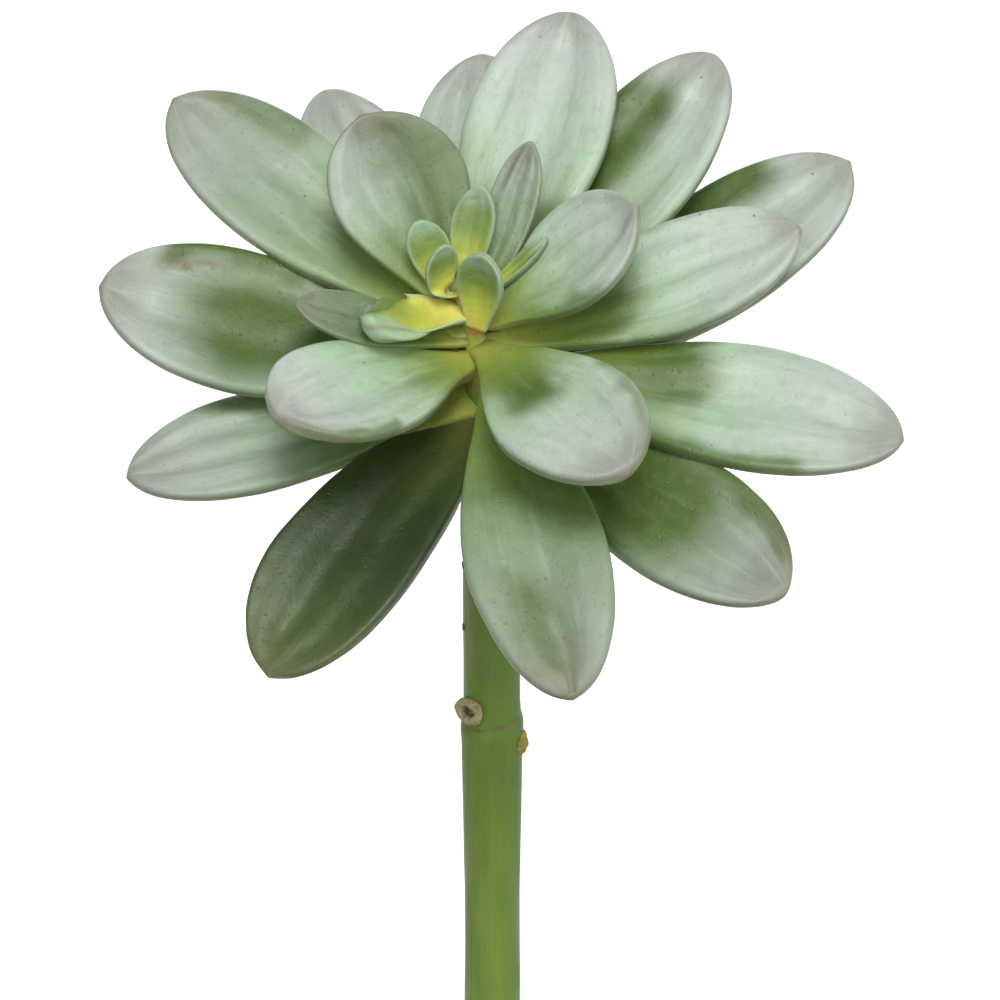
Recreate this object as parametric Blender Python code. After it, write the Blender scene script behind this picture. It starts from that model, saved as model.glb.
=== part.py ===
"""A potted succulent: an open rosette of fleshy leaves on a tall bare stem, in a plain clay pot.

Every leaf is a solid of its own, and so are the stem, the soil and the pot. Lengths are in metres,
+Z is up, and the origin is the centre of the pot's underside.
"""

import math
from collections import namedtuple

import bmesh
import bpy
from mathutils import Quaternion, Vector

MM = 0.001
GAP = 0.3 * MM                 # clearance between neighbouring solids

# Pot: a plain tapered wall under a thicker rim band, closed at the bottom.
POT_HEIGHT = 92 * MM
POT_FOOT_RADIUS = 40 * MM
POT_RIM_RADIUS = 58 * MM
POT_RIM_BAND = 22 * MM         # height of the thicker band at the top
POT_RIM_STEP = 3.5 * MM        # how far the band stands out from the wall
POT_WALL = 5 * MM
POT_FLOOR = 7 * MM
POT_EDGE = 1.2 * MM            # rounding of the rim and of the foot
POT_SEGMENTS = 48

# Soil: fills the pot to below the rim, slightly heaped towards the stem.
SOIL_TOP = 78 * MM
SOIL_HEAP = 3 * MM
SOIL_SLOPE = ((0.62, 0.45), (0.30, 0.9))   # share of the radius, and of the heap that it reaches
SOIL_MARGIN = 1.5 * GAP        # between the soil's facets and the pot's

# Stem: a straight bare cane that tapers and leans inside the rosette.
STEM_FOOT = 42 * MM            # its lower end, down in the soil
STEM_RADIUS = 5.8 * MM
STEM_SEGMENTS = 20
NECK_HEIGHT = 284 * MM         # the taper starts here
CROWN_HEIGHT = 310 * MM        # top of the growing tip
CROWN_RADIUS = 1.6 * MM
CROWN_LEAN = Vector((-6.5 * MM, -1 * MM, 0))
SOCKET_CLEARANCE = 0.5 * MM
NECK_POWER = 0.8               # how quickly the neck narrows
LEAN_POWER = 1.5               # how late it starts to lean

# Swellings of the stem: where they are, how far they stand out as a share of the radius, and how
# far they reach up and down and around, the last in radians.
Swelling = namedtuple("Swelling", "height angle proud tall wide")
SCAR = Swelling(217 * MM, math.radians(205), 0.28, 2.6 * MM, 0.5)    # old leaf scar, on the left
BUD = Swelling(211.5 * MM, math.radians(-15), 0.30, 2.8 * MM, 0.4)   # dormant bud, on the right
JOINT_HEIGHT = 214 * MM        # the ring left where an old leaf clasped the stem
JOINT_PROUD = 0.05
JOINT_TALL = 2.5 * MM

ROSETTE_AXIS = Vector((-0.1, -0.48, 0.87)).normalized()   # the rosette nods to the front

# Leaves: spoon-shaped, narrow where they join the stem and broad towards a blunt point.
LEAF_RINGS = 11
LEAF_SIDES = 12
SMALL_LEAF_RINGS = 8
SMALL_LEAF_SIDES = 8
SMALL_LEAF_LENGTH = 24 * MM
LEAF_FOOT_WIDTH = 0.22         # width at the stem, as a share of the full width
LEAF_FOOT_DEPTH = 0.62         # thickness at the stem, as a share of the full thickness
LEAF_FOOT_DROP = 3 * MM         # a foot clears the stem this far below its middle
LEAF_BROADEST = 0.63           # how far along the leaf it is broadest
LEAF_SPREAD_POWER = 1.3        # how late it spreads: 1 is an even curve
LEAF_TIP_POWER = 0.56          # 0.5 is a round end, 1 is a straight-sided point
LEAF_FULL_DEPTH = 0.4          # how far along it reaches its full thickness
LEAF_TIP_DEPTH = 0.3           # thickness that it keeps at its very tip, as a share
LEAF_EDGE_POWER = 0.8          # roundness of its edges: 1 is an ellipse, lower is blunter

# Angles are in degrees. Azimuth 0 is +X and 90 is +Y. Rise is the slope of the leaf from end to
# end, curl is how much it bends upwards along the way (negative for drooping), and roll turns it
# about its own length. Sizes are in millimetres: height of the base above the ground, length,
# width and thickness. Cup is how far the edges stand up, as a share of the half width.
Leaf = namedtuple("Leaf", "azimuth height rise curl length width thickness cup roll",
                  defaults=(0.12, 0))

LEAVES = (
    # lowest tier, some of them hanging down beside the stem
    Leaf(234, 283.8, -27, -34, 71.5, 31, 6.5, 0.25),
    Leaf(282, 290, -28, -40, 74, 29, 6.5, 0.10),
    Leaf(318, 282.2, -13, -20, 70, 28, 6.5, 0.10),
    Leaf(195, 287.2, -7.6, -10, 67, 24, 6.0, 0.10),
    Leaf(70, 285.5, 10, 6, 68, 26, 6.0, 0.12),
    Leaf(156, 284, 4, 6, 56, 25, 6.0, 0.12),
    # middle tier
    Leaf(345, 293, -4, -8, 78.5, 29, 6.5, 0.12),
    Leaf(178, 293.6, 11, 10, 71.5, 32, 6.5, 0.15, -6),
    Leaf(27, 288, 25, 6, 82, 30, 6.5, 0.12),
    Leaf(119, 287.4, 33.5, 8, 76, 28, 6.0, 0.12, 14),
    Leaf(91, 292.5, 39, 10, 71, 29, 6.0, 0.12),
    Leaf(223, 295.6, 2, -6, 48, 26, 6.0, 0.12),
    Leaf(298, 298, -4, -20, 54.5, 28, 6.5, 0.12),
    # upper tier
    Leaf(47, 296.3, 38, 8, 76.5, 28, 6.2, 0.12),
    Leaf(146.5, 301, 28.2, 8, 77, 29, 6, 0.12, 3),
    Leaf(8.5, 298.4, 17.8, 4, 62, 26.5, 6, 0.15, 9),
    Leaf(69, 302.5, 42.5, 8, 69.5, 30, 7.0, 0.12),
    # inner leaves
    Leaf(190, 299.6, 11.5, 6, 32, 9, 3, 0.12, 3),
    Leaf(134, 306.1, 53, 10, 41, 28, 6.0, 0.15),
    Leaf(0, 304, 37, 8, 35, 24, 5.5, 0.15),
    Leaf(198, 306, 8, 14, 18, 12.5, 4.0, 0.5),
    Leaf(48, 306, 63, 4, 33, 8, 3.0, 0.15),
    Leaf(17, 307.5, 47, 0, 20, 5, 2.5, 0.2),
    # heart
    Leaf(75, 309.4, 75, 6, 21, 8.4, 3.0, 0.15),
    Leaf(147, 309, 67, 6, 16.5, 8.5, 3.0, 0.15),
    Leaf(290, 304, 78, 6, 17, 10, 3.2, 0.20),
    Leaf(190, 309.5, 72, 6, 8.5, 6.4, 2.6, 0.2),
)


def remove_everything():
    """Start from an empty scene."""
    for item in list(bpy.data.objects):
        bpy.data.objects.remove(item, do_unlink=True)


def make_material(name, colour, roughness):
    material = bpy.data.materials.new(name)
    material.use_nodes = True
    shader = material.node_tree.nodes["Principled BSDF"]
    shader.inputs["Base Color"].default_value = (*colour, 1.0)
    shader.inputs["Roughness"].default_value = roughness
    shader.inputs["Metallic"].default_value = 0.0
    return material


def add_object(name, mesh_data, material):
    """Turn a bmesh into a smooth-shaded object with its faces pointing out."""
    bmesh.ops.recalc_face_normals(mesh_data, faces=mesh_data.faces)
    mesh = bpy.data.meshes.new(name)
    mesh_data.to_mesh(mesh)
    mesh_data.free()
    mesh.shade_smooth()
    mesh.set_sharp_from_angle(angle=math.radians(40))
    mesh.materials.append(material)
    item = bpy.data.objects.new(name, mesh)
    bpy.context.collection.objects.link(item)
    return item


def skin_rings(rings, apex=None):
    """Join rings of points into one closed body: a flat first end and a flat or pointed last."""
    body = bmesh.new()
    loops = [[body.verts.new(point) for point in ring] for ring in rings]
    sides = len(loops[0])
    for lower, upper in zip(loops, loops[1:]):
        for i in range(sides):
            j = (i + 1) % sides
            body.faces.new((lower[i], lower[j], upper[j], upper[i]))
    body.faces.new(list(reversed(loops[0])))
    if apex is None:
        body.faces.new(loops[-1])
    else:
        tip = body.verts.new(apex)
        for i in range(sides):
            body.faces.new((loops[-1][i], loops[-1][(i + 1) % sides], tip))
    return body


def turned(profile, segments):
    """Spin an open profile of (radius, height) points, both ends on the axis, about +Z."""
    body = bmesh.new()
    points = [body.verts.new((radius, 0.0, height)) for radius, height in profile]
    edges = [body.edges.new(pair) for pair in zip(points, points[1:])]
    bmesh.ops.spin(body, geom=points + edges, cent=(0, 0, 0), axis=(0, 0, 1),
                   angle=2 * math.pi, steps=segments, use_merge=True)
    bmesh.ops.remove_doubles(body, verts=body.verts, dist=0.00001)
    return body


def round_corner(before, corner, after, radius, steps=3):
    """Points of a quadratic curve that rounds off one corner of a profile."""
    before, corner, after = Vector(before), Vector(corner), Vector(after)
    start = corner + (before - corner).normalized() * radius
    end = corner + (after - corner).normalized() * radius
    points = []
    for i in range(steps + 1):
        t = i / steps
        points.append(tuple(start * (1 - t) ** 2 + corner * 2 * t * (1 - t) + end * t ** 2))
    return points


def pot_outer_radius(height):
    """Radius of the pot's wall below its rim band."""
    share = height / (POT_HEIGHT - POT_RIM_BAND)
    return POT_FOOT_RADIUS + (POT_RIM_RADIUS - POT_RIM_STEP - POT_FOOT_RADIUS) * share


def pot_inner_radius(height):
    share = (height - POT_FLOOR) / (POT_HEIGHT - POT_FLOOR)
    floor_radius = POT_FOOT_RADIUS - POT_WALL
    return floor_radius + (POT_RIM_RADIUS - POT_WALL - floor_radius) * share


def make_pot(material):
    band_foot = POT_HEIGHT - POT_RIM_BAND
    foot = (POT_FOOT_RADIUS, 0.0)
    under_band = (pot_outer_radius(band_foot), band_foot)
    band_low = (POT_RIM_RADIUS - 0.8 * MM, band_foot)
    rim_out = (POT_RIM_RADIUS, POT_HEIGHT)
    rim_in = (pot_inner_radius(POT_HEIGHT), POT_HEIGHT)
    floor_edge = (pot_inner_radius(POT_FLOOR), POT_FLOOR)
    profile = [(0.0, 0.0)]
    profile += round_corner((0.0, 0.0), foot, under_band, POT_EDGE)
    profile.append(under_band)
    profile += round_corner(under_band, band_low, rim_out, POT_EDGE)
    profile += round_corner(band_low, rim_out, rim_in, POT_EDGE)
    profile += round_corner(rim_out, rim_in, floor_edge, POT_EDGE)
    profile.append(floor_edge)
    profile.append((0.0, POT_FLOOR))
    return add_object("pot", turned(profile, POT_SEGMENTS), material)


def make_soil(material):
    """Soil with a socket where the stem stands."""
    bottom = POT_FLOOR + GAP
    socket = STEM_RADIUS + SOCKET_CLEARANCE
    edge_top = SOIL_TOP
    edge = pot_inner_radius(edge_top) - SOIL_MARGIN
    profile = [
        (0.0, bottom),
        (pot_inner_radius(bottom) - SOIL_MARGIN, bottom),
        (edge, edge_top),
    ]
    profile += [(edge * share, edge_top + SOIL_HEAP * rise) for share, rise in SOIL_SLOPE]
    profile += [
        (socket, edge_top + SOIL_HEAP),
        (socket, STEM_FOOT - GAP),
        (0.0, STEM_FOOT - GAP),
    ]
    return add_object("soil", turned(profile, POT_SEGMENTS), material)


def stem_radius(height):
    if height <= NECK_HEIGHT:
        return STEM_RADIUS
    share = (height - NECK_HEIGHT) / (CROWN_HEIGHT - NECK_HEIGHT)
    return STEM_RADIUS + (CROWN_RADIUS - STEM_RADIUS) * min(share, 1.0) ** NECK_POWER


def stem_centre(height):
    """Centre line of the stem: upright, then leaning over towards the growing tip."""
    share = max(0.0, (height - NECK_HEIGHT) / (CROWN_HEIGHT - NECK_HEIGHT))
    return CROWN_LEAN * min(share, 1.0) ** LEAN_POWER + Vector((0, 0, height))


def bump(offset, width):
    """A soft hump that is 1 at no offset and fades out over the width."""
    return math.exp(-(offset / width) ** 2)


def stem_swelling(height, angle):
    """How far the scar and the bud stand out of the stem at one place, as a share of its radius."""
    total = JOINT_PROUD * bump(height - JOINT_HEIGHT, JOINT_TALL)
    for knob in (SCAR, BUD):
        aside = math.remainder(angle - knob.angle, 2 * math.pi)
        total += knob.proud * bump(height - knob.height, knob.tall) * bump(aside, knob.wide)
    return total


def make_stem(material):
    plain = [STEM_FOOT, 76 * MM, 120 * MM, 160 * MM, 190 * MM]
    knot = [SCAR.height + step * 2 * MM for step in range(-7, 5)]
    neck = [240 * MM, 265 * MM, NECK_HEIGHT, 292 * MM, 299 * MM, 305 * MM, CROWN_HEIGHT]
    rings = []
    for height in plain + knot + neck:
        centre = stem_centre(height)
        radius = stem_radius(height)
        ring = []
        for i in range(STEM_SEGMENTS):
            angle = 2 * math.pi * i / STEM_SEGMENTS
            reach = radius * (1 + stem_swelling(height, angle))
            ring.append(centre + Vector((math.cos(angle), math.sin(angle), 0)) * reach)
        rings.append(ring)
    tip = stem_centre(CROWN_HEIGHT) + Vector((0, 0, CROWN_RADIUS))
    return add_object("stem", skin_rings(rings, tip), material)


def leaf_spread(t):
    """Half width of a leaf at share t of its length, as a share of its greatest half width."""
    if t <= LEAF_BROADEST:
        ease = math.sin(0.5 * math.pi * t / LEAF_BROADEST)
        return LEAF_FOOT_WIDTH + (1 - LEAF_FOOT_WIDTH) * ease ** LEAF_SPREAD_POWER
    past = (t - LEAF_BROADEST) / (1 - LEAF_BROADEST)
    return (1 - past ** 2) ** LEAF_TIP_POWER


def leaf_depth(t):
    """Thickness of a leaf at share t of its length, as a share of its full thickness."""
    swell = min(1.0, t / LEAF_FULL_DEPTH)
    depth = LEAF_FOOT_DEPTH + (1 - LEAF_FOOT_DEPTH) * swell * swell * (3 - 2 * swell)
    if t > LEAF_BROADEST:
        depth *= LEAF_TIP_DEPTH + (1 - LEAF_TIP_DEPTH) * leaf_spread(t)
    return depth


def direction(azimuth, rise):
    azimuth, rise = math.radians(azimuth), math.radians(rise)
    return Vector((math.cos(azimuth) * math.cos(rise), math.sin(azimuth) * math.cos(rise),
                   math.sin(rise)))


def leaf_section(leaf, t, centre, side, face, sides):
    """One closed ring of points around the leaf at share t of its length."""
    half_width = 0.5 * leaf.width * MM * leaf_spread(t)
    half_depth = 0.5 * leaf.thickness * MM * leaf_depth(t)
    ring = []
    for i in range(sides):
        turn = 2 * math.pi * i / sides
        sideways = math.cos(turn)
        upwards = math.copysign(abs(math.sin(turn)) ** LEAF_EDGE_POWER, math.sin(turn))
        lift = half_depth * upwards + leaf.cup * half_width * (sideways ** 2 - 0.5)
        ring.append(centre + side * (half_width * sideways) + face * lift)
    return ring


def make_leaf(name, leaf, material):
    """Sweep the leaf's section along an arc that starts at the stem."""
    length = leaf.length * MM
    small = length < SMALL_LEAF_LENGTH
    count = SMALL_LEAF_RINGS if small else LEAF_RINGS
    sides = SMALL_LEAF_SIDES if small else LEAF_SIDES
    shares = [math.sin(0.5 * math.pi * i / count) for i in range(count + 1)]

    # The leaf's own frame: along its chord, across it, and up out of its face.
    along = direction(leaf.azimuth, leaf.rise)
    across = along.cross(ROSETTE_AXIS).normalized()
    across.rotate(Quaternion(along, math.radians(leaf.roll)))
    up = across.cross(along)

    def heading(t):
        bend = math.radians(leaf.curl) * (t - 0.5)
        return along * math.cos(bend) + up * math.sin(bend)

    height = leaf.height * MM
    foot_depth = 0.5 * leaf.thickness * MM * LEAF_FOOT_DEPTH
    reach = stem_radius(height - LEAF_FOOT_DROP) + 2 * GAP + foot_depth * abs(heading(0).z)
    centre = stem_centre(height) + direction(leaf.azimuth, 0) * reach
    rings = []
    for t, following in zip(shares, shares[1:]):
        face = across.cross(heading(t)).normalized()
        rings.append(leaf_section(leaf, t, centre, across, face, sides))
        centre = centre + heading(0.5 * (t + following)) * (length * (following - t))
    return add_object(name, skin_rings(rings, centre), material)


def main():
    remove_everything()
    clay = make_material("pot_clay", (0.55, 0.27, 0.16), 0.85)
    earth = make_material("soil_earth", (0.06, 0.04, 0.025), 0.95)
    stalk = make_material("stem_skin", (0.13, 0.25, 0.05), 0.5)
    blade = make_material("leaf_skin", (0.36, 0.48, 0.34), 0.42)
    make_pot(clay)
    make_soil(earth)
    make_stem(stalk)
    for number, leaf in enumerate(LEAVES, start=1):
        make_leaf(f"leaf_{number:02d}", leaf, blade)


main()
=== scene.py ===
"""The looks of the potted succulent: waxy leaves, a green cane, crumbly soil and a clay pot.

Every leaf and the stem are skinned again, much finer, around the rings of points that their
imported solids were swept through, so each surface stays where its solid is. Lengths are in metres.
"""

import math
import random
from collections import namedtuple

import bmesh
import bpy
import numpy as np
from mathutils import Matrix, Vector, noise
from mathutils.bvhtree import BVHTree


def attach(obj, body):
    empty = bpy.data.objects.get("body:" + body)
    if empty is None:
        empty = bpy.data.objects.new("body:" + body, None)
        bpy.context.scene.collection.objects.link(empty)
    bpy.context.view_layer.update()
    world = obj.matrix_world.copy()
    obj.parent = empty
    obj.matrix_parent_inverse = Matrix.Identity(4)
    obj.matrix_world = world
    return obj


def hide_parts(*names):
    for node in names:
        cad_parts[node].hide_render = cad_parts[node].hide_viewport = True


MM = 0.001
WELD = 0.002 * MM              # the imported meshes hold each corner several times

# Leaf skin: how finely it is divided, and how far its details stand out.
STEPS_PER_RING = 5
TIP_STEPS = 12                 # steps between the last ring and the tip
LEAF_SIDES = 48
SMALL_LEAF = 24 * MM           # leaves shorter than this have fewer sides
SMALL_LEAF_SIDES = 32
ROOT_RINGS = ((0.9, 0.7), (0.6, 0.92), (0.3, 0.98))  # places towards the stem, and sizes
RIM_ROUNDNESS = 0.56           # exponent of the section's height; lower is blunter
DISH = 0.42                    # hollow of the upper face, as a share of the half thickness
GROOVE = 0.50 * MM
LUMP = 0.50 * MM
LUMP_SIZE = 12 * MM
DIMPLE = 0.12 * MM
DIMPLE_SIZE = 2.8 * MM
POINT = 0.45 * MM              # the little point at a leaf's tip
POINT_WIDTH = 1.6 * MM
SWAY = 0.7 * MM                # how far a leaf's middle may bend sideways
WAVE = 0.035                   # how much a leaf's breadth varies, as a share
THIN = 1.5 * MM                # lumps fade out where a leaf is thinner than this
PITS = 13
GROWN = (8 * MM, 34 * MM)      # the details grow to full size between these lengths of leaf
YOUNG = (20 * MM, 31 * MM)     # the heart's colours fade out between these lengths of leaf

# How the skin of some leaves is trimmed against its imported solid: wide and thick are shares of the
# solid's breadth and thickness, lift and aside are the tip's rise and its shift to +X in
# millimetres, roll is a turn about its own length in degrees, fill is how much its narrow foot is
# filled out, wax is its share of pale wax, set low on leaves that sit in shade so that their bare
# dark green paints that shade, dark is how much painted shade darkens it beyond the others, cup is
# how much more its edges are turned up, and flip marks a leaf whose hollow side is its lower one.
Trim = namedtuple("Trim", "wide lift aside roll fill thick wax dark cup flip",
                  defaults=(1.0, 0, 0, 0, 0, 1.0, 1.0, 0.0, 0.0, False))
TRIMS = {
    "leaf_01": Trim(wide=0.92, lift=2.6, aside=-1.0, fill=0.30, wax=0.0, dark=0.76),
    "leaf_02": Trim(wide=0.94, aside=1.2, wax=0.44),
    "leaf_03": Trim(lift=1.5, wax=0.49),
    "leaf_04": Trim(fill=0.25, wax=0.60),
    "leaf_08": Trim(lift=2.4, wax=0.66),
    "leaf_09": Trim(wax=0.9),
    "leaf_12": Trim(wide=1.08, lift=1.4),
    "leaf_14": Trim(lift=-1.5, aside=2.2),
    "leaf_15": Trim(lift=-2.2, wax=0.55),
    "leaf_16": Trim(wide=0.92, lift=1.6),
    "leaf_18": Trim(wide=1.45, lift=3.6, wax=0.35),
    "leaf_19": Trim(wax=0.60),
    "leaf_20": Trim(lift=2.4, wax=0.8),
    "leaf_21": Trim(wide=0.95, lift=-1.0, aside=-0.5, roll=34, fill=0.34, thick=1.45, cup=0.20,
                    flip=True),
    "leaf_22": Trim(wide=1.25, fill=0.3, wax=0.50),
    "leaf_23": Trim(wide=0.7, lift=-3.0, wax=0.1),
    "leaf_24": Trim(wide=1.05, lift=-1.0, aside=1.6, fill=0.3),
    "leaf_25": Trim(lift=-1.5, fill=0.3),
    "leaf_26": Trim(fill=0.3),
    "leaf_27": Trim(wide=1.1, lift=2.4, aside=2.6, fill=0.4),
}
LEAN_POWER = 1.3               # how late along the leaf its lift and shift set in

# Painted shade: pale wax stays where a leaf is open to a cone of directions, as from a light above
# and in front, and thins towards bare dark green where the other leaves block it, painting their
# shade.
PAINTED_SHADE_FROM = Vector((-0.22, -0.38, 0.90))
PAINTED_SHADE_SPREADS = (0.24, 0.48)     # tangents of the cone's two rings of rays
PAINTED_SHADE_RAYS = 6                   # in each ring
PAINTED_SHADE_CLEAR = 2.5 * MM           # the rays start this far above the skin
WAX_BRINK = -0.3               # no wax lies on the underside, past this share of the thickness
PAST_SELF = 0.1 * MM
FULL_SHADE_WAX_SHARE = 0.45         # the share of its wax that a fully sheltered place keeps
SHADE_CASTERS = 20                # the leaves of the heart, numbered after these, shelter nothing

# Creases, scuffs and pits on the upper face: where they start and end along the leaf, where they
# are across it (-1 is its left edge, seen from the stem), their radius and depth in millimetres.
Mark = namedtuple("Mark", "start end across radius deep")
MARK_WANDER = 0.05
PAINTED_SHADE_WANDER = 0.22
MARKS = {
    "leaf_02": ((0.84, 0.985, -0.10, 0.45, 0.50),),
    "leaf_08": ((0.66, 0.86, 0.70, 0.60, 0.20), (0.72, 0.80, 0.60, 0.40, 0.15)),
    "leaf_13": ((0.45, 0.45, -0.35, 1.00, 0.60),),
    "leaf_20": ((0.38, 0.38, 0.08, 0.60, 0.35),),
    "leaf_17": ((0.80, 0.84, -0.30, 0.40, 0.25), (0.60, 0.60, 0.45, 0.50, 0.25)),
    "leaf_22": ((0.70, 0.95, -0.55, 0.50, 0.20),),
}

# Painted shade: green patches without wax where other leaves shade this one, laid out in the same
# way;
# deep is the share of wax that's gone.
PAINTED_SHADE_PATCHES = {
    "leaf_02": ((0.72, 0.90, 0.30, 5, 0.5), (0.10, 0.36, 0.4, 6, 0.4)),
    "leaf_03": ((0.05, 0.56, -0.15, 9, 1.0), (0.60, 0.90, -0.9, 4, 0.6)),
    "leaf_07": ((0.05, 0.42, -0.40, 9, 0.95), (0.40, 0.75, 0.95, 3.5, 0.8)),
    "leaf_08": ((0.10, 0.60, 0.05, 12, 1.0), (0.50, 0.82, 0.95, 4, 0.9)),
    "leaf_09": ((0.25, 0.78, -0.80, 7, 1.0),),
    "leaf_12": ((0.20, 0.30, -0.30, 5, 0.5), (0.60, 0.95, -0.98, 2.5, 0.7)),
    "leaf_13": ((0.05, 0.42, 0.15, 7.5, 1.0), (0.50, 0.95, -0.98, 3.5, 0.6)),
    "leaf_14": ((0.10, 0.76, -0.62, 11, 1.0),),
    "leaf_15": ((0.10, 0.36, 0.60, 4, 0.3), (0.70, 0.90, 0.75, 4, 0.5)),
    "leaf_16": ((0.02, 0.30, 0.10, 7, 0.9), (0.40, 0.80, 0.98, 2.5, 0.5)),
    "leaf_17": ((0.10, 0.34, 0.80, 6, 0.7),),
    "leaf_19": ((0.30, 0.85, 0.50, 9, 0.6),),
    "leaf_20": ((0.20, 0.60, 0.95, 3, 0.6),),
}

# Camera: a long lens, looking down on the rosette.
LENS = 150
SENSOR = 36
ELEVATION = math.radians(25)
CAMERA_DISTANCE = 0.8333
AIM_ABOVE_FOOT = 0.2647
AIM_ASIDE = 0.0016


# ---------------- reading the frame

def ring_chain(node, root):
    """The rings of points that a swept solid is made of, from its foot to its one tip point.

    The tip is the point farthest from root, and each ring holds the points that are one edge
    farther from it than the last.
    """
    body = bmesh.new()
    body.from_mesh(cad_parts[node].data)
    bmesh.ops.remove_doubles(body, verts=body.verts, dist=WELD)
    tip = max(body.verts, key=lambda vert: (vert.co - root).length)
    seen = {tip}
    ring = [tip]
    chain = []
    while ring:
        chain.append(np.array([vert.co[:] for vert in ring]))
        following = []
        for vert in ring:
            for edge in vert.link_edges:
                other = edge.other_vert(vert)
                if other not in seen:
                    seen.add(other)
                    following.append(other)
        ring = following
    body.free()
    return chain[::-1]


def measured(chain):
    """Centres, directions and half sizes of a leaf's rings, one row for each."""
    rows = {key: [] for key in ("centre", "side", "face", "width", "depth", "cup")}
    side, face = None, None
    raised = 0.0
    for ring in chain[:-1]:
        centre = ring.mean(axis=0)
        axes = np.linalg.svd(ring - centre)[2]
        side = axes[0] if side is None or axes[0] @ side > 0 else -axes[0]
        face = axes[1] if face is None or axes[1] @ face > 0 else -axes[1]
        sideways, upwards = (ring - centre) @ side, (ring - centre) @ face
        width = np.abs(sideways).max()
        middle = np.argsort(np.abs(sideways))[:2]
        edges = upwards[np.argsort(np.abs(sideways))[-2:]].mean()
        raised += edges
        rows["centre"].append(centre)
        rows["side"].append(side)
        rows["face"].append(face)
        rows["width"].append(width)
        rows["depth"].append(0.5 * abs(upwards[middle[0]] - upwards[middle[1]]))
        rows["cup"].append(2 * edges / width)
    for key, last in (("centre", chain[-1][0]), ("side", side), ("face", face),
                      ("width", 0.0), ("depth", 0.0), ("cup", rows["cup"][-1])):
        rows[key].append(last)
    shape = {key: np.array(values, dtype=float) for key, values in rows.items()}
    if raised < 0:                       # a leaf's edges stand up on its upper side
        shape["face"] *= -1
        shape["cup"] *= -1
    heading = shape["centre"][-1] - shape["centre"][0]
    if np.cross(heading, shape["face"][0]) @ shape["side"][0] < 0:
        shape["side"] *= -1
    steps = np.linalg.norm(np.diff(shape["centre"], axis=0), axis=1)
    shape["length"] = steps.sum()
    shape["share"] = np.concatenate([[0.0], np.cumsum(steps)]) / shape["length"]
    return shape


def between(values, at):
    """Catmull-Rom value of a list of rows at a fractional row number."""
    last = len(values) - 1
    i = min(int(at), last - 1)
    t = at - i
    before = values[i - 1] if i > 0 else 2 * values[0] - values[1]
    after = values[i + 2] if i + 2 <= last else 2 * values[last] - values[last - 1]
    a, b = values[i], values[i + 1]
    return 0.5 * (2 * a + (b - before) * t + (2 * before - 5 * a + 4 * b - after) * t ** 2
                  + (3 * a - 3 * b + after - before) * t ** 3)


def smooth(low, high, value):
    """0 below low, 1 above high and an S-curve between them."""
    t = min(max((value - low) / (high - low), 0.0), 1.0)
    return t * t * (3 - 2 * t)


def turns(count):
    """Angles of equal steps round a circle."""
    return [math.tau * step / count for step in range(count)]


# ---------------- meshes

def shaped(name, points, faces):
    """A new mesh."""
    mesh = bpy.data.meshes.new(name)
    mesh.from_pydata([tuple(point) for point in points], [], faces)
    return mesh


def placed(name, data, back=None):
    """A new object in the scene. A lamp or a camera looks the other way from back."""
    item = bpy.data.objects.new(name, data)
    bpy.context.collection.objects.link(item)
    if back:
        item.rotation_mode = "QUATERNION"
        item.rotation_quaternion = (-back).to_track_quat("-Z", "Y")
    return item


def new_piece(name, mesh, material):
    """Link a finished mesh as a smooth piece that rides on the body."""
    mesh.shade_smooth()
    mesh.materials.append(material)
    piece = placed(name, mesh)
    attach(piece, "root")
    return piece


def skin(name, rings, caps, values=None):
    """A closed mesh over rings of points. caps is the point that closes each end.

    values holds named lists with one number for each point, the caps' last.
    """
    count, sides = len(rings), len(rings[0])
    points = [point for ring in rings for point in ring] + list(caps)
    faces = []
    for i in range(count - 1):
        for j in range(sides):
            k = (j + 1) % sides
            faces.append((i * sides + j, i * sides + k, (i + 1) * sides + k, (i + 1) * sides + j))
    foot, tip, top = count * sides, count * sides + 1, (count - 1) * sides
    for j in range(sides):
        k = (j + 1) % sides
        faces.append((foot, k, j))
        faces.append((top + j, top + k, tip))
    mesh = shaped(name, points, faces)
    for key, numbers in (values or {}).items():
        layer = mesh.attributes.new(key, "FLOAT", "POINT")
        layer.data.foreach_set("value", np.array(numbers, dtype=np.float32))
    body = bmesh.new()
    body.from_mesh(mesh)
    bmesh.ops.recalc_face_normals(body, faces=body.faces)
    body.to_mesh(mesh)
    body.free()
    return mesh


# ---------------- materials

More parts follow.
